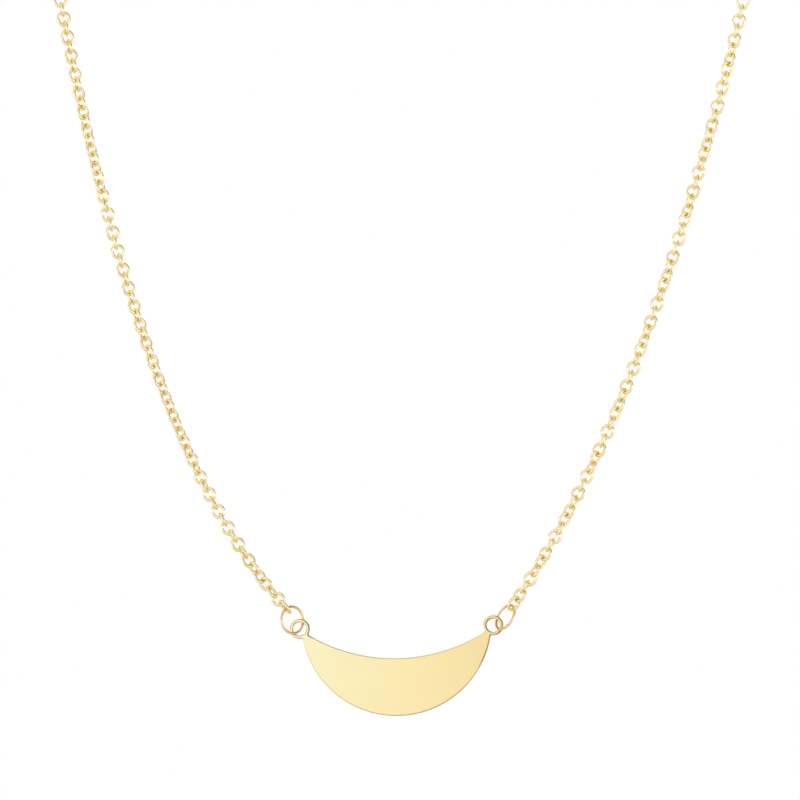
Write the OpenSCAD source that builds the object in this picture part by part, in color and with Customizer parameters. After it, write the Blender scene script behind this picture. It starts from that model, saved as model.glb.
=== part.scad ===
// Fine gold necklace, 458 mm (18 in) round, with a crescent pendant.
// Millimetres. +Z is up, +X is to the right of someone looking at the pendant, and the pendant faces -Y.
// The origin is on the axis of the neck that the chain goes round, level with the chain at the nape.

/* [Pendant] */
// Distance between the centres of the two eyes
eye_spacing = 23.24; // [22.8:0.02:23.6]
// Outer diameter of an eye
eye_d = 2.4; // [2.2:0.05:2.6]
// Hole through an eye
eye_hole_d = 1.6; // [1.56:0.02:1.7]
// Bevel on the rims of an eye's hole
eye_bevel = 0.1; // [0.05:0.01:0.12]
// Thickness of the plate
plate_t = 0.35; // [0.3:0.01:0.38]
// Radius of the lower, outward curve
lower_r = 11.46; // [11.3:0.02:11.6]
// Height of that curve's centre above the line through the eyes
lower_centre = 0.8; // [0.6:0.05:1]
// Radius of the upper, hollow curve
upper_r = 20.3; // [19.5:0.1:21]
// Height of that curve's centre above the line through the eyes
upper_centre = 16.55; // [16:0.05:17]
// How much the right eye hangs higher than the left, in degrees
plate_tilt = 1.1; // [0:0.1:2]
// How far the plate hangs out of plumb, lower edge to the front, in degrees
plate_lean = 7.2; // [7:0.1:8]

/* [Jump rings] */
// Wire of a jump ring
ring_wire = 0.32; // [0.28:0.01:0.34]
// Diameter of a jump ring, to the middle of its wire
ring_d = 3.22; // [3.2:0.02:3.26]
// Left ring: turn about its upright axis, right side to the back
left_turn = 38.5; // [38:0.5:40]
// Left ring: tilt of its top to the back
left_tilt = 6.5; // [6:0.5:8]
// Right ring: turn about its long axis, right side to the front
right_turn = 61.6; // [60:0.2:63]
// Right ring: lean of its long axis to the right
right_lean = 31.2; // [30:0.2:32]

/* [Chain] */
// Wire of the links, which hook into the jump rings and into the clasp's eyes
link_wire = 0.37; // [0.34:0.01:0.4]
// Outer diameter of the tube that stands for the links
chain_d = 1.7; // [1.6:0.05:1.8]
// Cross-sections along each side's tube
chain_rings = 40; // [36:1:44]
// Corners of a cross-section
chain_sides = 8; // [8:1:12]

/* [Clasp] */
// Length of the clasp's body
clasp_len = 6.4; // [6:0.1:6.6]
// Diameter at its middle
clasp_d = 2.5; // [2.2:0.1:2.8]
// Diameter at its ends
clasp_end_d = 1.4; // [1.2:0.1:1.6]
// Wire of the eye at each end
clasp_wire = 0.34; // [0.3:0.02:0.36]
// Hole through each eye
clasp_hole_d = 0.9; // [0.86:0.02:0.96]

/* [Hidden] */
// Middle of the line through the pendant's eyes
EYE_MID = [-0.42, -44.3, -122.29];
// Middles of the jump rings
LEFT_RING = [-12.92, -44.75, -121.42];
RIGHT_RING = [12.64, -44.97, -121.06];
// Middle of the clasp, at the nape
CLASP_AT = [0, 37.6, 0];
// Where the last link's end lies in the clasp's eye, from the clasp's middle
CLASP_REACH = 4.7;
// Bare length between the end bar of the last link and the end of the tube
RING_GAP = 1.0;
CLASP_GAP = 0.65;

// Route of the left chain, from the left jump ring to the clasp
//            x      y      z
LEFT_ROUTE = [
    [-13.4, -45.0, -120.3], // end bar of the last link, in the jump ring
    [-16.2, -45.0, -117.0],
    [-19.0, -45.0, -113.0],
    [-23.6, -45.0, -105.0],
    [-27.6, -45.0,  -96.0],
    [-31.2, -45.0,  -86.0],
    [-34.2, -45.0,  -76.0],
    [-36.8, -45.0,  -66.0],
    [-39.0, -45.0,  -56.0],
    [-41.0, -44.8,  -46.0], // here it starts to bend back round the neck
    [-42.9, -43.2,  -37.0],
    [-44.8, -39.6,  -28.8],
    [-46.7, -34.1,  -21.7],
    [-48.4, -26.9,  -16.1],
    [-49.8, -18.6,  -11.8],
    [-50.3,  -9.7,   -8.4], // side of the neck
    [-49.6,  -0.6,   -6.0],
    [-47.1,   8.6,   -4.4],
    [-43.0,  16.9,   -3.0],
    [-37.4,  24.2,   -1.9],
    [-30.5,  30.1,   -1.0],
    [-22.6,  34.4,   -0.4],
    [-13.8,  36.9,   -0.1],
    [ -4.7,  37.6,    0.0]  // end bar of the last link, in the clasp's eye
];

// Route of the right chain, from the right jump ring to the clasp
//           x      y      z
RIGHT_ROUTE = [
    [13.3, -45.0, -120.0], // end bar of the last link, in the jump ring
    [15.3, -45.0, -117.0],
    [17.7, -45.0, -113.0],
    [22.0, -45.0, -105.0],
    [26.1, -45.0,  -96.0],
    [29.95, -45.0, -86.0],
    [33.35, -45.0, -76.0],
    [36.35, -45.0, -66.0],
    [39.1, -45.0,  -56.0],
    [41.5, -44.8,  -46.0], // here it starts to bend back round the neck
    [43.7, -43.2,  -37.0],
    [45.6, -39.6,  -28.8],
    [47.3, -34.1,  -21.7],
    [48.8, -26.9,  -16.1],
    [49.9, -18.6,  -11.8],
    [50.3,  -9.7,   -8.4], // side of the neck
    [49.6,  -0.6,   -6.0],
    [47.1,   8.6,   -4.4],
    [43.0,  16.9,   -3.0],
    [37.4,  24.2,   -1.9],
    [30.5,  30.1,   -1.0],
    [22.6,  34.4,   -0.4],
    [13.8,  36.9,   -0.1],
    [ 4.7,  37.6,    0.0]  // end bar of the last link, in the clasp's eye
];

// ---- smooth curve through a route ----

// Distance along the straight lines from point to point, for each point
function marks(p, i = 0, s = 0) =
    i == len(p) - 1 ? [s] : concat([s], marks(p, i + 1, s + norm(p[i + 1] - p[i])));

// Direction at point i: the mean of the two lines that meet there, the shorter one counting for more
function slope(p, k, i) =
    i == 0 ? (p[1] - p[0]) / (k[1] - k[0]) :
    i == len(p) - 1 ? (p[i] - p[i - 1]) / (k[i] - k[i - 1]) :
    let (a = k[i] - k[i - 1], b = k[i + 1] - k[i])
    ((p[i] - p[i - 1]) / a * b + (p[i + 1] - p[i]) / b * a) / (a + b);

// Number of the stretch that holds the distance u
function stretch(k, u, i = 0) = i >= len(k) - 2 || u < k[i + 1] ? i : stretch(k, u, i + 1);

// Point, and direction, at the distance u
function on_curve(p, k, u) =
    let (i = stretch(k, u), h = k[i + 1] - k[i], t = (u - k[i]) / h, m = slope(p, k, i), n = slope(p, k, i + 1))
    (2 * t * t * t - 3 * t * t + 1) * p[i] + (t * t * t - 2 * t * t + t) * h * m
    + (3 * t * t - 2 * t * t * t) * p[i + 1] + (t * t * t - t * t) * h * n;
function along_curve(p, k, u) =
    let (i = stretch(k, u), h = k[i + 1] - k[i], t = (u - k[i]) / h, m = slope(p, k, i), n = slope(p, k, i + 1),
         d = (6 * t * t - 6 * t) / h * (p[i] - p[i + 1]) + (3 * t * t - 4 * t + 1) * m + (3 * t * t - 2 * t) * n)
    d / norm(d);

// One cross-section: a ring of points square to the curve, counted from the side that faces away from the neck
function section(c, t, r, n) =
    let (out = [c[0], c[1], 0], b = cross(t, out) / norm(cross(t, out)), a = cross(b, t))
    [for (j = [0 : n - 1]) c + r * (cos(360 * j / n) * a + sin(360 * j / n) * b)];

// ---- shared shapes ----

// Round tube swept along a route, from u0 after its start to u1 before its end
module swept(route, r, n, count, u0, u1) {
    k = marks(route);
    last = k[len(k) - 1] - u1;
    us = [for (i = [0 : count - 1]) u0 + (last - u0) * i / (count - 1)];
    pts = [for (u = us) each section(on_curve(route, k, u), along_curve(route, k, u), r, n)];
    side = [for (i = [0 : count - 2], j = [0 : n - 1])
        let (a = i * n + j, b = i * n + (j + 1) % n)
        each [[a, a + n, b], [b, a + n, b + n]]];
    first_end = [for (j = [1 : n - 2]) [0, j, j + 1]];
    last_end = [for (j = [1 : n - 2]) let (o = (count - 1) * n) [o, o + j + 1, o + j]];
    polyhedron(points = pts, faces = concat(side, first_end, last_end), convexity = 6);
}

// Closed ring of round wire, lying in the XY plane
module wire_ring(mean_d, wire) {
    rotate_extrude($fn = 96) translate([mean_d / 2, 0]) circle(d = wire, $fn = 32);
}

// Hole with bevelled rims through a plate of thickness t
module bevelled_hole(d, t, bevel) {
    e = 0.05;
    rotate_extrude($fn = 96) polygon([
        [0, -t / 2 - e], [d / 2 + bevel + e, -t / 2 - e], [d / 2, -t / 2 + bevel],
        [d / 2, t / 2 - bevel], [d / 2 + bevel + e, t / 2 + e], [0, t / 2 + e]
    ]);
}

// ---- the pieces ----

// Flat crescent with an eye at each tip, in one piece
module pendant() {
    color("khaki")
    translate(EYE_MID) rotate([0, -plate_tilt, 0]) rotate([-plate_lean, 0, 0]) rotate([90, 0, 0])
    difference() {
        linear_extrude(height = plate_t, center = true) union() {
            difference() {
                translate([0, lower_centre]) circle(r = lower_r, $fn = 180);
                translate([0, upper_centre]) circle(r = upper_r, $fn = 240);
            }
            for (s = [-1, 1]) translate([s * eye_spacing / 2, 0]) circle(d = eye_d, $fn = 96);
        }
        for (s = [-1, 1]) translate([s * eye_spacing / 2, 0, 0]) bevelled_hole(eye_hole_d, plate_t, eye_bevel);
    }
}

module jump_ring_left() {
    color("goldenrod")
    translate(LEFT_RING) rotate([0, 0, left_turn]) rotate([90 - left_tilt, 0, 0]) wire_ring(ring_d, ring_wire);
}

module jump_ring_right() {
    color("goldenrod")
    translate(RIGHT_RING) rotate([0, right_lean, 0]) rotate([0, 0, -right_turn]) rotate([90, 0, 0])
        wire_ring(ring_d, ring_wire);
}

module chain_left() {
    color("gold") swept(LEFT_ROUTE, chain_d / 2, chain_sides, chain_rings, RING_GAP, CLASP_GAP);
}

module chain_right() {
    color("gold") swept(RIGHT_ROUTE, chain_d / 2, chain_sides, chain_rings, RING_GAP, CLASP_GAP);
}

// Slim barrel, fastened, with a wire eye soldered on each end
module clasp() {
    swell = (clasp_d - clasp_end_d) / 2;
    arc_r = (clasp_len * clasp_len / 4 + swell * swell) / (2 * swell);
    eye_mean_d = clasp_hole_d + clasp_wire;
    eye_x = CLASP_REACH + link_wire / 2 - clasp_hole_d / 2;
    color("gold") translate(CLASP_AT) {
        rotate([0, 90, 0]) rotate_extrude($fn = 96) intersection() {
            translate([0, -clasp_len / 2]) square([clasp_d, clasp_len]);
            translate([clasp_d / 2 - arc_r, 0]) circle(r = arc_r, $fn = 720);
        }
        for (s = [-1, 1]) {
            translate([s * (clasp_len / 2 - 0.2), 0, 0]) rotate([0, s * 90, 0])
                cylinder(d = 0.7, h = eye_x - clasp_hole_d / 2 - 0.08 - (clasp_len / 2 - 0.2), $fn = 64);
            translate([s * eye_x, 0, 0]) rotate([90, 0, 0]) wire_ring(eye_mean_d, clasp_wire);
        }
    }
}

pendant();
jump_ring_left();
jump_ring_right();
chain_left();
chain_right();
clasp();
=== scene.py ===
# Fine gold necklace with a crescent pendant.
# The scene is in metres. The shape code below works in millimetres and scales its meshes at the end.
import math

import bmesh
import bpy
import numpy as np
from mathutils.geometry import delaunay_2d_cdt
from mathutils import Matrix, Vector


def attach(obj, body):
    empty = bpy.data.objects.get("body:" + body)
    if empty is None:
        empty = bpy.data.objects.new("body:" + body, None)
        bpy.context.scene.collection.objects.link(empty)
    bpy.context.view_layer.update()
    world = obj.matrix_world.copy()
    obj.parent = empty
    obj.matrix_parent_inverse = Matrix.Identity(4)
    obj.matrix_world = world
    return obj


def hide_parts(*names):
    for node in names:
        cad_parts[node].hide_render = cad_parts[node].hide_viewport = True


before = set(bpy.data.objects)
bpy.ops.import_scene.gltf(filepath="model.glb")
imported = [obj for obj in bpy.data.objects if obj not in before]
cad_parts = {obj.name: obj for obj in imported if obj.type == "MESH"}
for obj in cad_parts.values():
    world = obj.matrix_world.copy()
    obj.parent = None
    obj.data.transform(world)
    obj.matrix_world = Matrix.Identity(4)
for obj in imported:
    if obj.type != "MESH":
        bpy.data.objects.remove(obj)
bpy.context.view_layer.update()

MM = 0.001
sc = bpy.context.scene
sc.view_settings.view_transform = "Standard"
sc.view_settings.look = "None"
sc.view_settings.exposure = 0.0
sc.view_settings.gamma = 1.0

# ---------------------------------------------------------------- camera
# Long lens, level, straight in front. The frame is 96 mm wide where the chain hangs, at Y = -45 mm.
cam_data = bpy.data.cameras.new("camera")
cam_data.sensor_fit = "HORIZONTAL"
cam_data.sensor_width = 36.0
cam_data.lens = 200.0
cam_data.clip_start = 0.01
cam_data.clip_end = 20.0
cam = bpy.data.objects.new("camera", cam_data)
cam.location = (0.0, -0.045 - 0.048 / (18.0 / 200.0), -0.095)
cam.rotation_euler = (math.radians(90), 0, 0)
sc.collection.objects.link(cam)
sc.camera = cam

# ---------------------------------------------------------------- the chain's routes, as the frame has them
#      x      y      z
LEFT_ROUTE = [
    [-13.4, -45.0, -120.3],
    [-16.2, -45.0, -117.0],
    [-19.0, -45.0, -113.0],
    [-23.6, -45.0, -105.0],
    [-27.6, -45.0, -96.0],
    [-31.2, -45.0, -86.0],
    [-34.2, -45.0, -76.0],
    [-36.8, -45.0, -66.0],
    [-39.0, -45.0, -56.0],
    [-41.0, -44.8, -46.0],
    [-42.9, -43.2, -37.0],
    [-44.8, -39.6, -28.8],
    [-46.7, -34.1, -21.7],
    [-48.4, -26.9, -16.1],
    [-49.8, -18.6, -11.8],
    [-50.3, -9.7, -8.4],
    [-49.6, -0.6, -6.0],
    [-47.1, 8.6, -4.4],
    [-43.0, 16.9, -3.0],
    [-37.4, 24.2, -1.9],
    [-30.5, 30.1, -1.0],
    [-22.6, 34.4, -0.4],
    [-13.8, 36.9, -0.1],
    [-4.7, 37.6, 0.0],
]
RIGHT_ROUTE = [
    [13.3, -45.0, -120.0],
    [15.3, -45.0, -117.0],
    [17.7, -45.0, -113.0],
    [22.0, -45.0, -105.0],
    [26.1, -45.0, -96.0],
    [29.95, -45.0, -86.0],
    [33.35, -45.0, -76.0],
    [36.35, -45.0, -66.0],
    [39.1, -45.0, -56.0],
    [41.5, -44.8, -46.0],
    [43.7, -43.2, -37.0],
    [45.6, -39.6, -28.8],
    [47.3, -34.1, -21.7],
    [48.8, -26.9, -16.1],
    [49.9, -18.6, -11.8],
    [50.3, -9.7, -8.4],
    [49.6, -0.6, -6.0],
    [47.1, 8.6, -4.4],
    [43.0, 16.9, -3.0],
    [37.4, 24.2, -1.9],
    [30.5, 30.1, -1.0],
    [22.6, 34.4, -0.4],
    [13.8, 36.9, -0.1],
    [4.7, 37.6, 0.0],
]

# ---------------------------------------------------------------- sizes, in mm
LINK_WIRE = 0.37
LINK_WIDTH = 1.70  # outside
EYE_MID = np.array([-0.42, -44.3, -122.29])
LEFT_RING = np.array([-12.92, -44.75, -121.42])
RIGHT_RING = np.array([12.64, -44.97, -121.06])
CLASP_AT = np.array([0.0, 37.6, 0.0])
RING_D, RING_WIRE = 3.22, 0.32
PLATE_T = 0.35

# How the links lie. Links are counted from the jump ring. Each link stands square to its
# neighbour, and the chain also winds slowly about its own line. These rows were read off a
# comparison of trial renders with the photograph, link by link, and then rounded. The
# first rows of each side are set by the room that the link and its jump ring need instead.
#   link   winding, in quarter turns
LEFT_WINDING = [
    (0, -1.22),
    (1, -0.99),
    (2, -0.80),
    (4, -0.51),
    (6, -0.28),
    (8, -0.14),
    (12, 0.00),
    (16, 0.20),
    (18, 0.33),
    (20, 0.43),
    (23, 0.50),
    (28, 0.57),
    (32, 0.62),
    (36, 0.68),
    (38, 0.78),
    (41, 0.88),
    (44, 0.97),
    (46, 1.12),
    (48, 1.32),
    (50, 1.40),
    (54, 1.48),
    (58, 1.62),
    (62, 1.75),
    (66, 1.86),
]
RIGHT_WINDING = [
    (0, -1.60),
    (1, -1.38),
    (2, -1.15),
    (4, -0.69),
    (6, -0.38),
    (8, 0.00),
    (10, 0.37),
    (12, 0.68),
    (14, 0.98),
    (16, 1.33),
    (18, 1.75),
    (20, 2.00),
    (22, 2.35),
    (24, 2.60),
    (27, 3.00),
    (30, 3.45),
    (33, 3.92),
    (36, 4.36),
    (38, 4.60),
    (40, 4.98),
    (42, 5.15),
    (44, 5.50),
    (47, 5.97),
    (50, 6.40),
    (53, 6.65),
    (55, 6.95),
    (57, 7.15),
    (60, 7.50),
    (62, 7.80),
    (65, 8.00),
]
LEFT_SENSE, RIGHT_SENSE = 1, -1
# the first link of each side reaches a little further than the others, to hold the jump ring
LEFT_LONGER, RIGHT_LONGER = 0.21, 0.12
#   link   how far its middle is along the chain from the jump ring's bar, from the same comparison
LEFT_PLACES = [(0, 0.66), (6, 7.70), (16, 19.26), (30, 35.48), (46, 53.90), (66, 76.81)]
RIGHT_PLACES = [(0, 0.73), (17, 20.67), (65, 77.15)]


# ---------------------------------------------------------------- helpers
def unit(v):
    v = np.asarray(v, float)
    return v / np.linalg.norm(v, axis=-1, keepdims=True)


def rot(axis, deg):
    a = math.radians(deg)
    c, s = math.cos(a), math.sin(a)
    return {
        "x": np.array([[1, 0, 0], [0, c, -s], [0, s, c]]),
        "y": np.array([[c, 0, s], [0, 1, 0], [-s, 0, c]]),
        "z": np.array([[c, -s, 0], [s, c, 0], [0, 0, 1]]),
    }[axis]


def new_object(name, verts_mm, faces, normals=None, smooth=True, attributes=None):
    """A mesh object from points in mm. normals, if given, are one per point."""
    me = bpy.data.meshes.new(name)
    me.from_pydata((np.asarray(verts_mm, float) * MM).tolist(), [], faces)
    bm = bmesh.new()
    bm.from_mesh(me)
    bmesh.ops.recalc_face_normals(bm, faces=bm.faces)  # every shell faces out
    bm.to_mesh(me)
    bm.free()
    me.polygons.foreach_set("use_smooth", [smooth] * len(me.polygons))
    for key, values in (attributes or {}).items():
        at = me.attributes.new(key, "FLOAT", "POINT")
        at.data.foreach_set("value", np.asarray(values, np.float32))
    me.update()
    if normals is not None:
        me.normals_split_custom_set_from_vertices(np.asarray(normals, float).tolist())
    ob = bpy.data.objects.new(name, me)
    sc.collection.objects.link(ob)
    return ob


def grid_faces(rows, cols, close_rows, close_cols, start=0):
    """Quads of a rows x cols grid of points."""
    r = np.arange(rows if close_rows else rows - 1)
    c = np.arange(cols if close_cols else cols - 1)
    i, j = np.meshgrid(r, c, indexing="ij")
    i2, j2 = (i + 1) % rows, (j + 1) % cols
    f = np.stack([i * cols + j, i * cols + j2, i2 * cols + j2, i2 * cols + j], -1)
    return (f.reshape(-1, 4) + start).tolist()


# ---------------------------------------------------------------- the smooth curve through a route
def dense_route(route, per=80):
    p = np.array(route, float)
    k = np.concatenate([[0], np.cumsum(np.linalg.norm(np.diff(p, axis=0), axis=1))])
    m = np.zeros_like(p)
    for i in range(len(p)):
        if i == 0:
            m[i] = (p[1] - p[0]) / (k[1] - k[0])
        elif i == len(p) - 1:
            m[i] = (p[i] - p[i - 1]) / (k[i] - k[i - 1])
        else:
            a, b = k[i] - k[i - 1], k[i + 1] - k[i]
            m[i] = ((p[i] - p[i - 1]) / a * b + (p[i + 1] - p[i]) / b * a) / (a + b)
    out = []
    for i in range(len(p) - 1):
        h = k[i + 1] - k[i]
        t = (np.arange(per) / per)[:, None]
        out.append(
            (2 * t**3 - 3 * t**2 + 1) * p[i]
            + (t**3 - 2 * t**2 + t) * h * m[i]
            + (3 * t**2 - 2 * t**3) * p[i + 1]
            + (t**3 - t**2) * h * m[i + 1]
        )
    pts = np.concatenate([*out, p[-1:]])
    s = np.concatenate([[0], np.cumsum(np.linalg.norm(np.diff(pts, axis=0), axis=1))])
    return s, pts


def carried_normals(pts):
    """A direction square to the curve, facing the front at its start and carried along it without turning about it."""
    t = unit(np.gradient(pts, axis=0))
    m = np.zeros_like(pts)
    now = np.array([0.0, -1.0, 0.0])
    for i in range(len(pts)):
        now = now - t[i] * (now @ t[i])
        now = now / np.linalg.norm(now)
        m[i] = now
    return m


def sample(s, table, at):
    return np.stack([np.interp(at, s, table[:, i]) for i in range(3)], -1)


# ---------------------------------------------------------------- chain links
def chain_links(name, route, winding, sense, places, longer, count, seed):
    """All the links of one side as one mesh: oval rings of round wire, each hooked through the next."""
    s, pts = dense_route(route)
    m_table = carried_normals(pts)
    total = s[-1] + 0.012
    wire = LINK_WIRE
    ks, us = [k for k, _ in places], [u for _, u in places]
    pitch = max((us[i + 1] - us[i]) / (ks[i + 1] - ks[i]) for i in range(len(ks) - 1))
    pitch = max(pitch, (total - pitch / 2 - wire / 2 - us[-1]) / (count - 1 - ks[-1]))
    length = pitch + wire + 0.012  # between the middles of a link's two bars
    mid = np.interp(np.arange(count), [*ks, count - 1], [*us, total - length / 2])
    rng = np.random.default_rng(seed)
    n = np.arange(count)
    p0 = sample(s, pts, mid - length / 2)
    p1 = sample(s, pts, mid + length / 2)
    c = (p0 + p1) / 2
    t = unit(p1 - p0)
    m = sample(s, m_table, mid)
    m = unit(m - t * (m * t).sum(-1, keepdims=True))
    a = np.cross(t, m)
    # the last link lies flat in the clasp's upright eye
    need = math.atan2(-a[-1][2], m[-1][2])
    last_k, last_w = winding[-1]
    rate = 90.0 * (winding[-1][1] - winding[-3][1]) / (winding[-1][0] - winding[-3][0])
    rest = count - 1 - last_k
    natural = sense * (90.0 * last_w + rate * rest) + 90.0 * (count - 1)
    end = math.degrees(need) + 180.0 * round((natural - math.degrees(need)) / 180.0)
    end_w = (end - 90.0 * (count - 1)) / (90.0 * sense)
    turn = 90.0 * np.interp(n, [k for k, _ in winding] + [count - 1], [w for _, w in winding] + [end_w])
    jitter = rng.normal(0, 2.0, count)
    jitter[[0, -1]] = 0
    th = np.radians(90.0 * n + sense * turn + jitter)[:, None]
    w = np.cos(th) * a + np.sin(th) * m
    b = np.cross(t, w)

    around, tube = 36, 12
    half_l = np.full(count, length / 2)
    half_l[0] += longer / 2
    c[0] -= longer / 2 * t[0]
    half_l = half_l[:, None, None]
    half_w = (LINK_WIDTH - wire) / 2
    f = 2 * np.pi * np.arange(around) / around
    g = 2 * np.pi * np.arange(tube) / tube
    e = half_l * np.cos(f)[None, :, None] * t[:, None] + half_w * np.sin(f)[None, :, None] * w[:, None]
    nrm = unit(half_w * np.cos(f)[None, :, None] * t[:, None] + half_l * np.sin(f)[None, :, None] * w[:, None])
    ring = (
        np.cos(g)[None, None, :, None] * nrm[:, :, None]
        + np.sin(g)[None, None, :, None] * b[:, None, None]
    )
    verts = c[:, None, None] + e[:, :, None] + wire / 2 * ring
    # painted shade: how close each point is to where the next link touches it; the colour is darkened there
    painted_shade = np.zeros(verts.shape[:3])
    for sign in (-1, 1):
        spot = c + sign * (half_l[:, 0] - wire / 2) * t
        d = np.linalg.norm(verts - spot[:, None, None], axis=-1)
        painted_shade = np.maximum(painted_shade, np.exp(-((d / 0.33) ** 2)))
    one = np.array(grid_faces(around, tube, True, True))
    faces = (one[None] + (n * around * tube)[:, None, None]).reshape(-1, 4).tolist()
    shade = np.repeat(rng.random(count), around * tube)
    return new_object(
        name,
        verts.reshape(-1, 3),
        faces,
        attributes={"painted_shade": painted_shade.ravel(), "each": shade},
    )


# ---------------------------------------------------------------- jump rings
def jump_ring(name, centre, frame3, seam_deg, eye, link):
    """Ring of round wire bent shut: its two cut ends meet at a fine seam, one a little to the side of the other."""
    gap = math.degrees(0.035 / (RING_D / 2))
    steps, tube = 176, 24
    f = np.radians(seam_deg + gap / 2 + (360 - gap) * np.arange(steps) / (steps - 1))
    side = 0.018 * (2 * np.arange(steps) / (steps - 1) - 1)
    g = 2 * np.pi * np.arange(tube) / tube
    # the cut ends are very slightly rounded
    radius = np.full(steps, RING_WIRE / 2)
    out, nor = [], []
    cols = [(f[0], side[0], RING_WIRE / 2 - 0.022)]
    x = np.stack([np.cos(f), np.sin(f), 0 * f], -1)
    z = np.array([0.0, 0.0, 1.0])
    verts = (
        RING_D / 2 * x[:, None]
        + side[:, None, None] * z
        + radius[:, None, None] * (np.cos(g)[None, :, None] * x[:, None] + np.sin(g)[None, :, None] * z)
    ).reshape(-1, 3)
    faces = grid_faces(steps, tube, False, True)
    caps = []
    for i, sgn in ((0, -1), (steps - 1, 1)):
        tang = np.array([-math.sin(f[i]), math.cos(f[i]), 0.0]) * sgn
        mid = RING_D / 2 * x[i] + side[i] * z
        start = len(verts) + sum(len(v) for v in caps)
        loop = mid + 0.008 * tang + (RING_WIRE / 2 - 0.02) * (
            np.cos(g)[:, None] * x[i] + np.sin(g)[:, None] * z
        )
        caps.append(loop)
        edge = i * tube
        for j in range(tube):
            j2 = (j + 1) % tube
            q = [edge + j, edge + j2, start + j2, start + j]
            faces.append(q[::-1] if sgn > 0 else q)
        cap = [start + j for j in range(tube)]
        faces.append(cap if sgn > 0 else cap[::-1])
    verts = np.concatenate([verts, *caps])
    # the wire's grid runs the other way round than the frame of the tube, so turn every face out
    faces = [q[::-1] for q in faces]
    verts = verts @ np.asarray(frame3, float).T + centre
    # painted shade: how close each point is to what hangs in the ring and to the first link; the colour is darkened
    # there
    d = np.min(np.linalg.norm(verts[:, None] - eye[None], axis=-1), axis=1)
    painted_shade = np.exp(-((d / 0.42) ** 2))
    d = np.linalg.norm(verts - np.asarray(link, float), axis=-1)
    return new_object(name, verts, faces, attributes={"painted_shade": np.maximum(painted_shade, 0.9 * np.exp(-((d / 0.55) ** 2)))})


# ---------------------------------------------------------------- pendant
EYE_X, EYE_R, HOLE_R = 11.62, 1.2, 0.8
LOW_R, LOW_C = 11.46, 0.8
UP_R, UP_C = 20.3, 16.55
FILLET = 0.2
PLATE_TURN = rot("y", -1.1) @ rot("x", -7.2) @ rot("x", 90)


def circles_meet(c1, r1, c2, r2, pick):
    """Where two circles cross; pick chooses the crossing with the larger key."""
    c1, c2 = np.array(c1, float), np.array(c2, float)
    d = np.linalg.norm(c2 - c1)
    u = (c2 - c1) / d
    a = (r1 * r1 - r2 * r2 + d * d) / (2 * d)
    h = math.sqrt(max(0.0, r1 * r1 - a * a))
    v = np.array([-u[1], u[0]])
    return max([c1 + a * u + h * v, c1 + a * u - h * v], key=pick)


def arc(c, r, p, q, ccw, step):
    """Points along the arc from p to q, both included, and the directions away from the centre."""
    c = np.array(c, float)
    a0 = math.atan2(p[1] - c[1], p[0] - c[0])
    a1 = math.atan2(q[1] - c[1], q[0] - c[0])
    if ccw:
        while a1 < a0:
            a1 += 2 * math.pi
    else:
        while a1 > a0:
            a1 -= 2 * math.pi
    n = max(2, int(abs(a1 - a0) * r / step) + 1)
    a = np.linspace(a0, a1, n)
    u = np.stack([np.cos(a), np.sin(a)], -1)
    return c + r * u, u


def plate_outline():
    """The crescent with its two eyes, counter-clockwise, each corner between an eye and the plate softened. Gives points and outward directions."""
    eye, low, up = (EYE_X, 0.0), (0.0, LOW_C), (0.0, UP_C)
    # right side: the two small hollow arcs beside the eye
    f_low = circles_meet(eye, EYE_R + FILLET, low, LOW_R + FILLET, lambda p: -p[1])
    f_up = circles_meet(eye, EYE_R + FILLET, up, UP_R - FILLET, lambda p: -p[0])

    def on(c, r, toward):
        c = np.array(c, float)
        return c + r * unit(np.array(toward, float) - c)

    a1 = on(low, LOW_R, f_low)  # lower curve ends, fillet begins
    a2 = on(eye, EYE_R, f_low)
    a3 = on(eye, EYE_R, f_up)
    a4 = np.array(up) + UP_R * unit(f_up - np.array(up))  # upper curve begins
    mirror = np.array([-1.0, 1.0])
    parts = [
        (*arc(low, LOW_R, a1 * mirror, a1, True, 0.11), 1),
        (*arc(f_low, FILLET, a1, a2, False, 0.03), -1),
        (*arc(eye, EYE_R, a2, a3, True, 0.07), 1),
        (*arc(f_up, FILLET, a3, a4, False, 0.03), -1),
        (*arc(up, UP_R, a4, a4 * mirror, False, 0.13), -1),
        (*arc(f_up * mirror, FILLET, a4 * mirror, a3 * mirror, False, 0.03), -1),
        (*arc(np.array(eye) * mirror, EYE_R, a3 * mirror, a2 * mirror, True, 0.07), 1),
        (*arc(f_low * mirror, FILLET, a2 * mirror, a1 * mirror, False, 0.03), -1),
    ]
    pts, out = [], []
    for p, u, sign in parts:
        pts.append(p[:-1])
        out.append(sign * u[:-1])
    return np.concatenate(pts), np.concatenate(out)


def inside(poly, p):
    """Which of the points p lie inside the polygon."""
    x, y = p[:, 0][:, None], p[:, 1][:, None]
    x1, y1 = poly[:, 0], poly[:, 1]
    x2, y2 = np.roll(x1, -1), np.roll(y1, -1)
    cross = (y1 > y) != (y2 > y)
    with np.errstate(divide="ignore", invalid="ignore"):
        xi = (x2 - x1) * (y - y1) / (y2 - y1) + x1
    return ((cross & (x < xi)).sum(1) % 2) == 1


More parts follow.
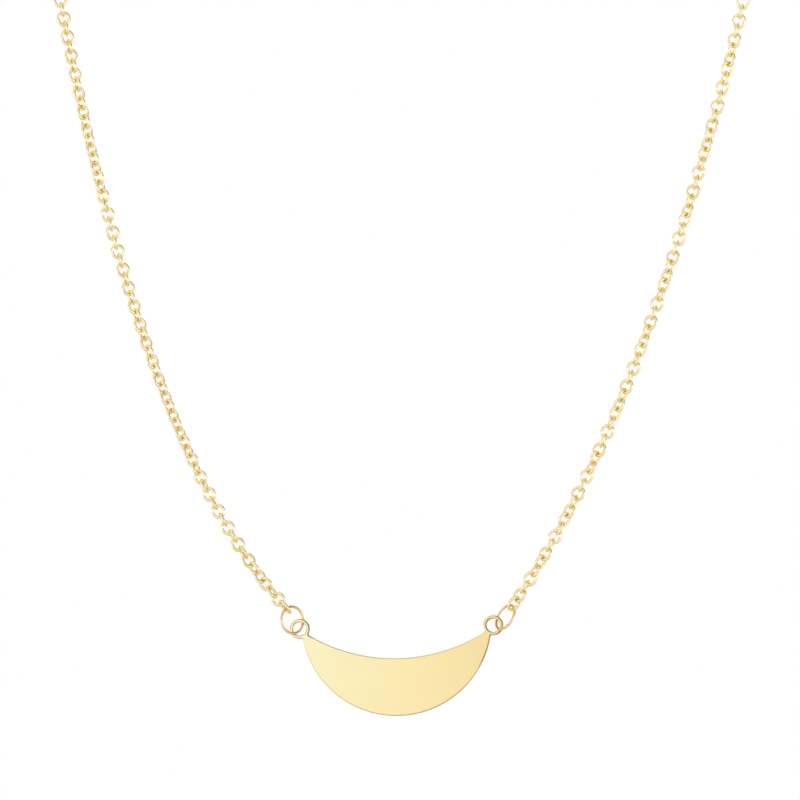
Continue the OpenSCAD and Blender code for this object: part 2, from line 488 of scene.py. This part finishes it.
def pendant_plate(name, edge, crown):
    """The plate with rounded rims all round and through its eyes, polished to a very slight crown in front."""
    outer, outer_n = plate_outline()
    loops = [(outer, outer_n)]
    for sx in (-1, 1):
        a = -2 * np.pi * np.arange(84) / 84
        u = np.stack([np.cos(a), np.sin(a)], -1)
        loops.append((np.array([sx * EYE_X, 0.0]) + HOLE_R * u, -u))
    steps = 6
    half = PLATE_T / 2

    def crown_at(x, y):
        # height and slope of the polished face
        return crown * (1 - (x / 12.0) ** 2), -2 * crown * x / 144.0

    # the section of a rim: inset from the edge, height, how much of the normal is sideways
    rows = []
    for j in range(steps + 1):
        al = 0.5 * math.pi * j / steps
        rows.append((edge * (1 - math.sin(al)), half - edge * (1 - math.cos(al)), math.sin(al), math.cos(al)))
    for j in range(steps, -1, -1):
        al = 0.5 * math.pi * j / steps
        rows.append((edge * (1 - math.sin(al)), -half + edge * (1 - math.cos(al)), math.sin(al), -math.cos(al)))
    rows = [(edge + 0.05, half, 0.0, 1.0), *rows, (edge + 0.05, -half, 0.0, -1.0)]
    verts, normals, faces, rims = [], [], [], []
    at = 0
    front_loops, back_loops = [], []
    for pts, out in loops:
        n = len(pts)
        # painted shade: the cut edges are darkened to brown where they face right, away from the light, most of all
        # about the eyes, and less on the back
        eyes = np.clip((np.abs(pts[:, 0]) - 9.7) / 0.6, 0, 1)
        right = np.clip((out[:, 0] + 0.75) / 1.35, 0, 1)
        if len(pts) == 84 and pts[0, 0] < 0:
            right = 0.45 * right  # the ring shades the left eye's hole less
        rim_shade = (0.14 + 0.86 * right * right * (3 - 2 * right)) * (0.72 + 0.28 * eyes)
        band = eyes * np.clip(1.6 * out[:, 0], 0, 1)  # there the painted shade is a little wider
        for inset, z, side, face in rows:
            p = pts - out * inset
            zz = np.full(n, z)
            if z > 0:
                lift, slope = crown_at(p[:, 0], p[:, 1])
                zz = zz + lift * (z / half)
            nn = np.concatenate([out * side, np.full((n, 1), face)], 1)
            if face > 0:
                nn[:, 0] -= slope * face
            verts.append(np.column_stack([p, zz]))
            normals.append(unit(nn))
            if inset > edge:
                rims.append(np.zeros(n))
            else:
                rims.append(np.maximum(side ** (1 - 0.5 * band), 0.7 * band) * rim_shade * (1.0 if z > 0 else 0.3))
        faces += [q[::-1] for q in grid_faces(len(rows), n, False, True, at)]
        front_loops.append(np.arange(n) + at)
        back_loops.append(np.arange(n) + at + (len(rows) - 1) * n)
        at += len(rows) * n
    verts = np.concatenate(verts)
    normals = np.concatenate(normals)
    # front and back faces: points inside the rims, joined by triangles
    flat_loops = [verts[i][:, :2] for i in front_loops]
    xs = np.arange(-11.0, 11.01, 0.5)
    ys = np.arange(-10.6, 1.0, 0.5)
    gx, gy = np.meshgrid(xs, ys)
    g = np.column_stack([gx.ravel(), gy.ravel()])
    ok = inside(flat_loops[0], g)
    near = np.min(
        np.linalg.norm(g[:, None] - np.concatenate(flat_loops)[None, ::2], axis=-1), axis=1
    )
    for lp in flat_loops[1:]:
        ok &= ~inside(lp, g)
    g = g[ok & (near > 0.3)]
    seeds = np.concatenate([*flat_loops, g])
    edges, k = [], 0
    for lp in flat_loops:
        n = len(lp)
        edges += [(k + i, k + (i + 1) % n) for i in range(n)]
        k += n
    out = delaunay_2d_cdt([Vector(p) for p in seeds], edges, [], 0, 1e-7)
    vv = np.array([tuple(p) for p in out[0]])
    tris = [list(tri) for tri in out[2]]
    origs = out[3]
    mids = np.array([vv[tri].mean(0) for tri in tris])
    keep = inside(flat_loops[0], mids)
    for lp in flat_loops[1:]:
        keep &= ~inside(lp, mids)
    rim_front = np.concatenate(front_loops)
    rim_back = np.concatenate(back_loops)
    n_rim = len(rim_front)
    extra = {}
    index_front, index_back = {}, {}
    add_v, add_n = [], []
    base = len(verts)
    for i, orig in enumerate(origs):
        o = orig[0] if orig else None
        if o is not None and o < n_rim:
            index_front[i], index_back[i] = int(rim_front[o]), int(rim_back[o])
        else:
            x, y = vv[i]
            lift, slope = crown_at(np.array([x]), np.array([y]))
            index_front[i] = base + len(add_v)
            add_v.append([x, y, half + lift[0]])
            add_n.append(unit(np.array([-slope[0], 0, 1.0])))
            index_back[i] = base + len(add_v)
            add_v.append([x, y, -half])
            add_n.append([0, 0, -1.0])
    for tri, k in zip(tris, keep):
        if not k:
            continue
        p = vv[tri]
        area = (p[1][0] - p[0][0]) * (p[2][1] - p[0][1]) - (p[1][1] - p[0][1]) * (p[2][0] - p[0][0])
        order = tri if area > 0 else tri[::-1]
        faces.append([index_front[i] for i in order])
        faces.append([index_back[i] for i in order[::-1]])
    verts = np.concatenate([verts, np.array(add_v)])
    normals = np.concatenate([normals, np.array(add_n)])
    rims = np.concatenate([*rims, np.zeros(len(add_v))])
    used = np.zeros(len(verts), bool)
    for q in faces:
        used[q] = True
    renum = np.cumsum(used) - 1
    faces = [[int(renum[i]) for i in q] for q in faces]
    verts, normals, rims = verts[used], normals[used], rims[used]
    turn = PLATE_TURN
    return new_object(name, verts @ turn.T + EYE_MID, faces, normals @ turn.T, attributes={"rim": rims})


# ---------------------------------------------------------------- clasp
def lathe(profile, sides):
    """Turned shape about X: profile is (x, radius) from one end to the other, both ends on the axis."""
    pr = np.array(profile, float)
    g = 2 * np.pi * np.arange(sides) / sides
    v = np.stack(
        [
            np.repeat(pr[:, 0][:, None], sides, 1),
            pr[:, 1][:, None] * np.cos(g)[None],
            pr[:, 1][:, None] * np.sin(g)[None],
        ],
        -1,
    ).reshape(-1, 3)
    faces = grid_faces(len(pr), sides, False, True)
    a, b = len(v), len(v) + 1
    v = np.concatenate([v, [[pr[0, 0], 0, 0], [pr[-1, 0], 0, 0]]])
    last = (len(pr) - 1) * sides
    for j in range(sides):
        j2 = (j + 1) % sides
        faces.append([a, j2, j])
        faces.append([b, last + j, last + j2])
    return v, [q[::-1] for q in faces]


def barrel_clasp(name):
    """Slim barrel, closed: two turned halves that meet at a fine seam, and a wire eye soldered on each end."""
    length, d, end_d = 6.4, 2.5, 1.4
    swell = (d - end_d) / 2
    big = (length * length / 4 + swell * swell) / (2 * swell)
    soft = 0.16

    def body_r(x):
        return d / 2 - big + math.sqrt(big * big - x * x)

    xs = []
    for i in range(61):
        xs.append((-1 + 2 * i / 60) * (length / 2 - soft))
    prof = []
    for i in range(7):  # rounded end
        al = 0.5 * math.pi * i / 6
        prof.append((-length / 2 + soft * (1 - math.sin(al)), body_r(length / 2 - soft) - soft * (1 - math.cos(al)) * 0.9))
    prof = prof[::-1]
    prof = [(-length / 2, body_r(length / 2 - soft) - soft * 0.9 - 0.02)] + prof[:-1]
    grooves = [(0.0, 0.05, 0.05), (-2.55, 0.035, 0.05), (2.55, 0.035, 0.05), (-2.35, 0.02, 0.035), (2.35, 0.02, 0.035)]
    fine = sorted(set([round(x, 4) for x in xs] + [round(gx + dx, 4) for gx, gd, gw in grooves for dx in (-2 * gw, -gw, -0.5 * gw, 0, 0.5 * gw, gw, 2 * gw)]))
    for x in fine:
        r = body_r(x)
        for gx, depth, width in grooves:
            r -= depth * math.exp(-(((x - gx) / (0.6 * width)) ** 2))
        prof.append((x, r))
    prof += [(-x, r) for x, r in prof[: 7][::-1]]
    v, f = lathe(prof, 72)
    parts = [(v, f)]
    wire, hole = 0.34, 0.9
    eye_x = 4.435
    for sgn in (-1, 1):
        # neck with a little solder at both ends
        x0, x1 = length / 2 - 0.12, eye_x - hole / 2 - 0.08
        neck = []
        for i in range(15):
            q = i / 14
            flare = 0.13 * math.exp(-((q * (x1 - x0) / 0.16) ** 2)) + 0.03 * math.exp(-(((1 - q) * (x1 - x0) / 0.12) ** 2))
            neck.append((x0 + q * (x1 - x0), 0.26 + flare))
        v, f = lathe(neck, 48)
        if sgn < 0:
            v = v * np.array([-1, 1, 1])
            f = [q[::-1] for q in f]
        parts.append((v, f))
        a = 2 * np.pi * np.arange(96) / 96
        g = 2 * np.pi * np.arange(20) / 20
        x = np.stack([np.cos(a), 0 * a, np.sin(a)], -1)
        y = np.array([0.0, 1.0, 0.0])
        mean = (hole + wire) / 2
        v = (mean * x[:, None] + wire / 2 * (np.cos(g)[None, :, None] * x[:, None] + np.sin(g)[None, :, None] * y)).reshape(-1, 3)
        v = v + np.array([sgn * eye_x, 0, 0])
        parts.append((v, grid_faces(96, 20, True, True)))
    verts, faces = [], []
    at = 0
    for v, f in parts:
        verts.append(v + CLASP_AT)
        faces += [[i + at for i in q] for q in f]
        at += len(v)
    return new_object(name, np.concatenate(verts), faces)


# ---------------------------------------------------------------- materials
def socket(node, name, value):
    node.inputs[name].default_value = value


def gold(name, pale, shade_colour, rough, grain, painted_shade=None, hairlines=False, spot=None, each=None):
    """Polished gold alloy: a little drift in its colour and polish, and painted shade, a deeper colour, where the
    given attribute says, such as where links touch.
    """
    mat = bpy.data.materials.new(name)
    mat.use_nodes = True
    nt = mat.node_tree
    nt.nodes.clear()
    out = nt.nodes.new("ShaderNodeOutputMaterial")
    sh = nt.nodes.new("ShaderNodeBsdfPrincipled")
    nt.links.new(sh.outputs["BSDF"], out.inputs["Surface"])
    socket(sh, "Metallic", 1.0)
    sh.inputs["Specular Tint"].default_value = (1.0, 0.86, 0.56, 1)
    co = nt.nodes.new("ShaderNodeTexCoord")
    drift = nt.nodes.new("ShaderNodeTexNoise")
    socket(drift, "Scale", 260.0)
    socket(drift, "Detail", 3.0)
    nt.links.new(co.outputs["Object"], drift.inputs["Vector"])
    mix = nt.nodes.new("ShaderNodeMix")
    mix.data_type = "RGBA"
    mix.inputs["A"].default_value = (*pale, 1)
    mix.inputs["B"].default_value = (*[0.97 * pale[0], 0.96 * pale[1], 0.92 * pale[2]], 1)
    amount = drift.outputs["Fac"]
    if each:
        # and every link has its own tone
        own = nt.nodes.new("ShaderNodeAttribute")
        own.attribute_name = each
        both = nt.nodes.new("ShaderNodeMath")
        both.operation = "MULTIPLY_ADD"
        nt.links.new(own.outputs["Fac"], both.inputs[0])
        both.inputs[1].default_value = 1.4
        nt.links.new(amount, both.inputs[2])
        less = nt.nodes.new("ShaderNodeMath")
        less.operation = "SUBTRACT"
        nt.links.new(both.outputs["Value"], less.inputs[0])
        less.inputs[1].default_value = 1.2
        amount = less.outputs["Value"]
        mix.clamp_factor = False
    nt.links.new(amount, mix.inputs["Factor"])
    colour = mix.outputs["Result"]
    if painted_shade:
        at = nt.nodes.new("ShaderNodeAttribute")
        at.attribute_name = painted_shade
        mix2 = nt.nodes.new("ShaderNodeMix")
        mix2.data_type = "RGBA"
        nt.links.new(at.outputs["Fac"], mix2.inputs["Factor"])
        nt.links.new(colour, mix2.inputs["A"])
        mix2.inputs["B"].default_value = (*shade_colour, 1)
        colour = mix2.outputs["Result"]
        # and there the painted shade also darkens the edge colour at a glancing angle
        glance = nt.nodes.new("ShaderNodeMix")
        glance.data_type = "RGBA"
        nt.links.new(at.outputs["Fac"], glance.inputs["Factor"])
        glance.inputs["A"].default_value = (1.0, 0.86, 0.56, 1)
        glance.inputs["B"].default_value = (0.15 + 1.2 * shade_colour[0], 0.08 + 1.2 * shade_colour[1], 0.03 + shade_colour[2], 1)
        nt.links.new(glance.outputs["Result"], sh.inputs["Specular Tint"])
        if spot:
            # painted shade: darkest right where the wires touch
            close = nt.nodes.new("ShaderNodeMapRange")
            close.interpolation_type = "SMOOTHSTEP"
            socket(close, "From Min", 0.72)
            socket(close, "From Max", 1.0)
            socket(close, "To Max", 0.8)
            nt.links.new(at.outputs["Fac"], close.inputs["Value"])
            mix3 = nt.nodes.new("ShaderNodeMix")
            mix3.data_type = "RGBA"
            nt.links.new(close.outputs["Result"], mix3.inputs["Factor"])
            nt.links.new(colour, mix3.inputs["A"])
            mix3.inputs["B"].default_value = (*spot, 1)
            colour = mix3.outputs["Result"]
    nt.links.new(colour, sh.inputs["Base Color"])
    fine = nt.nodes.new("ShaderNodeTexNoise")
    socket(fine, "Scale", grain)
    socket(fine, "Detail", 4.0)
    nt.links.new(co.outputs["Object"], fine.inputs["Vector"])
    ramp = nt.nodes.new("ShaderNodeMapRange")
    socket(ramp, "From Min", 0.3)
    socket(ramp, "From Max", 0.7)
    socket(ramp, "To Min", rough * 0.8)
    socket(ramp, "To Max", rough * 1.25)
    nt.links.new(fine.outputs["Fac"], ramp.inputs["Value"])
    nt.links.new(ramp.outputs["Result"], sh.inputs["Roughness"])
    height = fine.outputs["Fac"]
    bump = nt.nodes.new("ShaderNodeBump")
    socket(bump, "Strength", 0.05 if not hairlines else 0.02)
    socket(bump, "Distance", 0.00001)
    if hairlines:
        # polishing hairlines: long thin streaks, barely deeper than the mirror
        turn = nt.nodes.new("ShaderNodeMapping")
        turn.inputs["Rotation"].default_value = (0, math.radians(24), 0)
        turn.inputs["Scale"].default_value = (60.0, 3000.0, 3000.0)
        nt.links.new(co.outputs["Object"], turn.inputs["Vector"])
        streak = nt.nodes.new("ShaderNodeTexNoise")
        socket(streak, "Scale", 1.0)
        socket(streak, "Detail", 2.0)
        nt.links.new(turn.outputs["Vector"], streak.inputs["Vector"])
        height = streak.outputs["Fac"]
    nt.links.new(height, bump.inputs["Height"])
    nt.links.new(bump.outputs["Normal"], sh.inputs["Normal"])
    return mat


# the second colour of each gold and its spot colour are painted shade: where the chain's links and the rings touch,
# and along the pendant's right-facing rims
PALE, SHADE_GOLD = (0.955, 0.86, 0.625), (0.98, 0.765, 0.155)
gold_chain = gold("chain_gold", PALE, SHADE_GOLD, 0.09, 5200.0, painted_shade="painted_shade", spot=(0.50, 0.24, 0.05), each="each")
gold_ring = gold("ring_gold", (0.90, 0.72, 0.44), (0.60, 0.22, 0.03), 0.11, 4000.0, painted_shade="painted_shade", spot=(0.26, 0.07, 0.01))
gold_plate = gold("pendant_gold", (0.95, 0.795, 0.445), (0.17, 0.07, 0.012), 0.10, 1500.0, painted_shade="rim", hairlines=True)
gold_clasp = gold("clasp_gold", PALE, SHADE_GOLD, 0.13, 2600.0)

# ---------------------------------------------------------------- the pieces
links_left = chain_links("links_left", LEFT_ROUTE, LEFT_WINDING, LEFT_SENSE, LEFT_PLACES, LEFT_LONGER, 182, 11)
links_right = chain_links("links_right", RIGHT_ROUTE, RIGHT_WINDING, RIGHT_SENSE, RIGHT_PLACES, RIGHT_LONGER, 178, 12)
eye_circles = []
for sx in (-1, 1):
    a = 2 * np.pi * np.arange(60) / 60
    ring = np.stack([sx * EYE_X + np.cos(a), np.sin(a), 0 * a], -1)
    eye_circles.append(ring @ PLATE_TURN.T + EYE_MID)
ring_left = jump_ring(
    "jump_ring_left_wire", LEFT_RING, rot("z", 38.5) @ rot("x", 83.5), 70, eye_circles[0], LEFT_ROUTE[0]
)
ring_right = jump_ring(
    "jump_ring_right_wire",
    RIGHT_RING,
    rot("y", 31.2) @ rot("z", -61.6) @ rot("x", 90),
    -20,
    eye_circles[1],
    RIGHT_ROUTE[0],
)
plate = pendant_plate("crescent_plate", 0.14, 0.05)
clasp = barrel_clasp("barrel_clasp")

for ob, mat, body, node, slot in (
    (links_left, gold_chain, "loop", "chain_left", "chain_gold"),
    (links_right, gold_chain, "loop", "chain_right", "chain_gold"),
    (clasp, gold_clasp, "loop", "clasp", "clasp_gold"),
    (ring_left, gold_ring, "drop", "jump_ring_left", "ring_gold"),
    (ring_right, gold_ring, "drop", "jump_ring_right", "ring_gold"),
    (plate, gold_plate, "drop", "pendant", "pendant_gold"),
):
    ob.data.materials.append(mat)
    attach(ob, body)
    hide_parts(node)

# ---------------------------------------------------------------- floor, light and background
floor_z = -0.30
n_seg = 96
fa = 2 * np.pi * np.arange(n_seg) / n_seg
floor_me = bpy.data.meshes.new("floor")
floor_me.from_pydata([(1.2 * math.cos(x), 1.2 * math.sin(x), floor_z) for x in fa], [], [list(range(n_seg))])
floor = bpy.data.objects.new("floor", floor_me)
sc.collection.objects.link(floor)
fm = bpy.data.materials.new("floor")
fm.use_nodes = True
nt = fm.node_tree
nt.nodes.clear()
out = nt.nodes.new("ShaderNodeOutputMaterial")
dif = nt.nodes.new("ShaderNodeBsdfDiffuse")
dif.inputs["Color"].default_value = (0.9, 0.9, 0.9, 1)
glow = nt.nodes.new("ShaderNodeEmission")
glow.inputs["Color"].default_value = (1, 1, 1, 1)
glow.inputs["Strength"].default_value = 1.0
geo = nt.nodes.new("ShaderNodeNewGeometry")
leng = nt.nodes.new("ShaderNodeVectorMath")
leng.operation = "LENGTH"
sub = nt.nodes.new("ShaderNodeVectorMath")
sub.operation = "SUBTRACT"
sub.inputs[1].default_value = (0, 0, floor_z)
nt.links.new(geo.outputs["Position"], sub.inputs[0])
nt.links.new(sub.outputs["Vector"], leng.inputs[0])
fade = nt.nodes.new("ShaderNodeMapRange")
fade.interpolation_type = "SMOOTHSTEP"
fade.inputs["From Min"].default_value = 0.15
fade.inputs["From Max"].default_value = 0.6
nt.links.new(leng.outputs["Value"], fade.inputs["Value"])
mx = nt.nodes.new("ShaderNodeMixShader")
nt.links.new(fade.outputs["Result"], mx.inputs["Fac"])
nt.links.new(dif.outputs["BSDF"], mx.inputs[1])
nt.links.new(glow.outputs["Emission"], mx.inputs[2])
clear = nt.nodes.new("ShaderNodeBsdfTransparent")
mx2 = nt.nodes.new("ShaderNodeMixShader")
nt.links.new(geo.outputs["Backfacing"], mx2.inputs["Fac"])
nt.links.new(mx.outputs["Shader"], mx2.inputs[1])
nt.links.new(clear.outputs["BSDF"], mx2.inputs[2])
nt.links.new(mx2.outputs["Shader"], out.inputs["Surface"])
floor_me.materials.append(fm)

# a white studio: wide soft light in front, on the left and above, less behind, and the dark of the room on the right
world = bpy.data.worlds.new("studio")
sc.world = world
world.use_nodes = True
nt = world.node_tree
nt.nodes.clear()
w_out = nt.nodes.new("ShaderNodeOutputWorld")
co = nt.nodes.new("ShaderNodeTexCoord")
sep = nt.nodes.new("ShaderNodeSeparateXYZ")
nt.links.new(co.outputs["Generated"], sep.inputs["Vector"])


def smooth(value, lo, hi, a=0.0, b=1.0):
    r = nt.nodes.new("ShaderNodeMapRange")
    r.interpolation_type = "SMOOTHSTEP"
    r.inputs["From Min"].default_value = lo
    r.inputs["From Max"].default_value = hi
    r.inputs["To Min"].default_value = a
    r.inputs["To Max"].default_value = b
    nt.links.new(value, r.inputs["Value"])
    return r.outputs["Result"]


def blend_colour(fac, a, b):
    m = nt.nodes.new("ShaderNodeMix")
    m.data_type = "RGBA"
    nt.links.new(fac, m.inputs["Factor"])
    for key, v in (("A", a), ("B", b)):
        if isinstance(v, tuple):
            m.inputs[key].default_value = (*v, 1)
        else:
            nt.links.new(v, m.inputs[key])
    return m.outputs["Result"]


X, Y, Z = sep.outputs["X"], sep.outputs["Y"], sep.outputs["Z"]
depth = nt.nodes.new("ShaderNodeMapRange")
depth.inputs["From Min"].default_value = -1.0
nt.links.new(Y, depth.inputs["Value"])
ramp = nt.nodes.new("ShaderNodeValToRGB")
ramp.color_ramp.interpolation = "EASE"
stops = [
    # front 0, sides 0.5, back 1
    (0.00, (0.98, 1.00, 1.06)),
    (0.12, (0.98, 1.00, 1.05)),
    (0.34, (1.03, 1.02, 0.97)),
    (0.65, (1.05, 0.99, 0.83)),
    (1.00, (1.05, 0.98, 0.79)),
]
while len(ramp.color_ramp.elements) < len(stops):
    ramp.color_ramp.elements.new(0.5)
for el, (at, col) in zip(ramp.color_ramp.elements, stops):
    el.position = at
    el.color = (*col, 1)
nt.links.new(depth.outputs["Result"], ramp.inputs["Fac"])
above = blend_colour(smooth(Z, -0.3, 0.7), (1.05, 1.05, 1.05), (0.92, 0.91, 0.88))
tone = nt.nodes.new("ShaderNodeMix")
tone.data_type = "RGBA"
tone.blend_type = "MULTIPLY"
tone.inputs["Factor"].default_value = 1.0
nt.links.new(ramp.outputs["Color"], tone.inputs["A"])
nt.links.new(above, tone.inputs["B"])
# cards, stands and gaps between them: broad patches, some brighter and some darker
patch = nt.nodes.new("ShaderNodeTexNoise")
socket(patch, "Scale", 3.4)
socket(patch, "Detail", 1.5)
nt.links.new(co.outputs["Generated"], patch.inputs["Vector"])
patches = blend_colour(smooth(patch.outputs["Fac"], 0.36, 0.64), (0.69, 0.62, 0.455), (1.14, 1.155, 1.21))
spread = nt.nodes.new("ShaderNodeMix")
spread.data_type = "RGBA"
spread.blend_type = "MULTIPLY"
spread.inputs["Factor"].default_value = 1.0
nt.links.new(tone.outputs["Result"], spread.inputs["A"])
nt.links.new(patches, spread.inputs["B"])
# two softboxes in front, one on each side and a little low
mirror_x = nt.nodes.new("ShaderNodeMath")
mirror_x.operation = "ABSOLUTE"
nt.links.new(X, mirror_x.inputs[0])
folded = nt.nodes.new("ShaderNodeCombineXYZ")
nt.links.new(mirror_x.outputs["Value"], folded.inputs["X"])
nt.links.new(Y, folded.inputs["Y"])
nt.links.new(Z, folded.inputs["Z"])
boxes = nt.nodes.new("ShaderNodeVectorMath")
boxes.operation = "DOT_PRODUCT"
boxes.inputs[1].default_value = (0.77, -0.58, -0.27)
nt.links.new(folded.outputs["Vector"], boxes.inputs[0])
glow_boxes = blend_colour(smooth(boxes.outputs["Value"], 0.84, 0.94), (1.0, 1.0, 1.0), (1.45, 1.50, 1.62))
lit = nt.nodes.new("ShaderNodeMix")
lit.data_type = "RGBA"
lit.blend_type = "MULTIPLY"
lit.inputs["Factor"].default_value = 1.0
nt.links.new(spread.outputs["Result"], lit.inputs["A"])
nt.links.new(glow_boxes, lit.inputs["B"])
# a bright card straight in front, a little above, warmer towards its right edge
card = nt.nodes.new("ShaderNodeVectorMath")
card.operation = "DOT_PRODUCT"
card.inputs[1].default_value = (0.0, -0.968, 0.25)
nt.links.new(co.outputs["Generated"], card.inputs[0])
across = nt.nodes.new("ShaderNodeMapRange")
across.inputs["From Min"].default_value = -0.036
across.inputs["From Max"].default_value = 0.036
nt.links.new(X, across.inputs["Value"])
card_ramp = nt.nodes.new("ShaderNodeValToRGB")
card_stops = [
    (0.00, (1.05, 1.16, 1.38)),
    (0.24, (1.03, 1.07, 1.05)),
    (0.78, (1.03, 1.02, 0.97)),
    (1.00, (0.94, 0.86, 0.72)),
]
while len(card_ramp.color_ramp.elements) < len(card_stops):
    card_ramp.color_ramp.elements.new(0.5)
for el, (at, col) in zip(card_ramp.color_ramp.elements, card_stops):
    el.position = at
    el.color = (*col, 1)
nt.links.new(across.outputs["Result"], card_ramp.inputs["Fac"])
front = blend_colour(smooth(card.outputs["Value"], 0.975, 0.99), lit.outputs["Result"], card_ramp.outputs["Color"])
# the dark of the room, high on the right
corner = nt.nodes.new("ShaderNodeVectorMath")
corner.operation = "DOT_PRODUCT"
corner.inputs[1].default_value = (0.80, -0.10, 0.59)
nt.links.new(co.outputs["Generated"], corner.inputs[0])
right = blend_colour(smooth(corner.outputs["Value"], 0.80, 0.95), front, (0.30, 0.19, 0.09))
light = nt.nodes.new("ShaderNodeBackground")
nt.links.new(right, light.inputs["Color"])
white = nt.nodes.new("ShaderNodeBackground")
white.inputs["Color"].default_value = (1, 1, 1, 1)
path = nt.nodes.new("ShaderNodeLightPath")
m3 = nt.nodes.new("ShaderNodeMixShader")
nt.links.new(path.outputs["Is Camera Ray"], m3.inputs["Fac"])
nt.links.new(light.outputs["Background"], m3.inputs[1])
nt.links.new(white.outputs["Background"], m3.inputs[2])
nt.links.new(m3.outputs["Shader"], w_out.inputs["Surface"])
